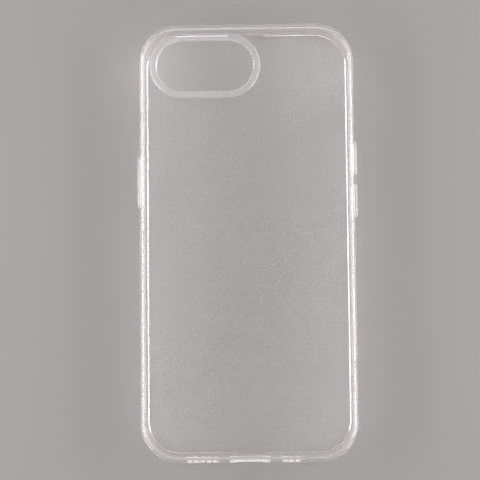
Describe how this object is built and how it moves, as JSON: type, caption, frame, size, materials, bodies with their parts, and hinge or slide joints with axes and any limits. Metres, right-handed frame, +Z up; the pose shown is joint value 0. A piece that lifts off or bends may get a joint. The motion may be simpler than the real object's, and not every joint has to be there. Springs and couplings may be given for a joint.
{
  "type": "phone case",
  "caption": "Clear flexible case for a slim phone, with a raised camera guard, sprung side keys, a front lip, and openings for a plug, a side button and sound.",
  "frame": {"origin": "under the middle of the case, in the plane that the front lip rests on", "axes": "+Z up through the back, +Y to the camera end, +X to the volume-key side"},
  "size_m": [0.0752, 0.1492, 0.0109],
  "materials": {
    "clear_plastic": "clear, high gloss",
    "dotted_clear_plastic": "clear, with a fine grid of raised micro-dots inside",
    "key_plastic": "clear, slightly satin"
  },
  "bodies": {
    "shell": {"back_panel": "dotted_clear_plastic", "side_wall": "clear_plastic", "front_lip": "clear_plastic", "camera_guard_ring": "clear_plastic", "power_key_web": "clear_plastic", "volume_key_web": "clear_plastic"},
    "power": {"power_key": "key_plastic"},
    "volume_up": {"volume_up_key": "key_plastic"},
    "volume_down": {"volume_down_key": "key_plastic"}
  },
  "joints": [
    {"name": "power_press", "type": "slide", "parent": "shell", "child": "power", "axis": [1, 0, 0], "range_m": [0, 0.0004], "stiffness_N_per_m": 2500},
    {"name": "volume_up_press", "type": "slide", "parent": "shell", "child": "volume_up", "axis": [-1, 0, 0], "range_m": [0, 0.0004], "stiffness_N_per_m": 2500},
    {"name": "volume_down_press", "type": "slide", "parent": "shell", "child": "volume_down", "axis": [-1, 0, 0], "range_m": [0, 0.0004], "stiffness_N_per_m": 2500}
  ]
}
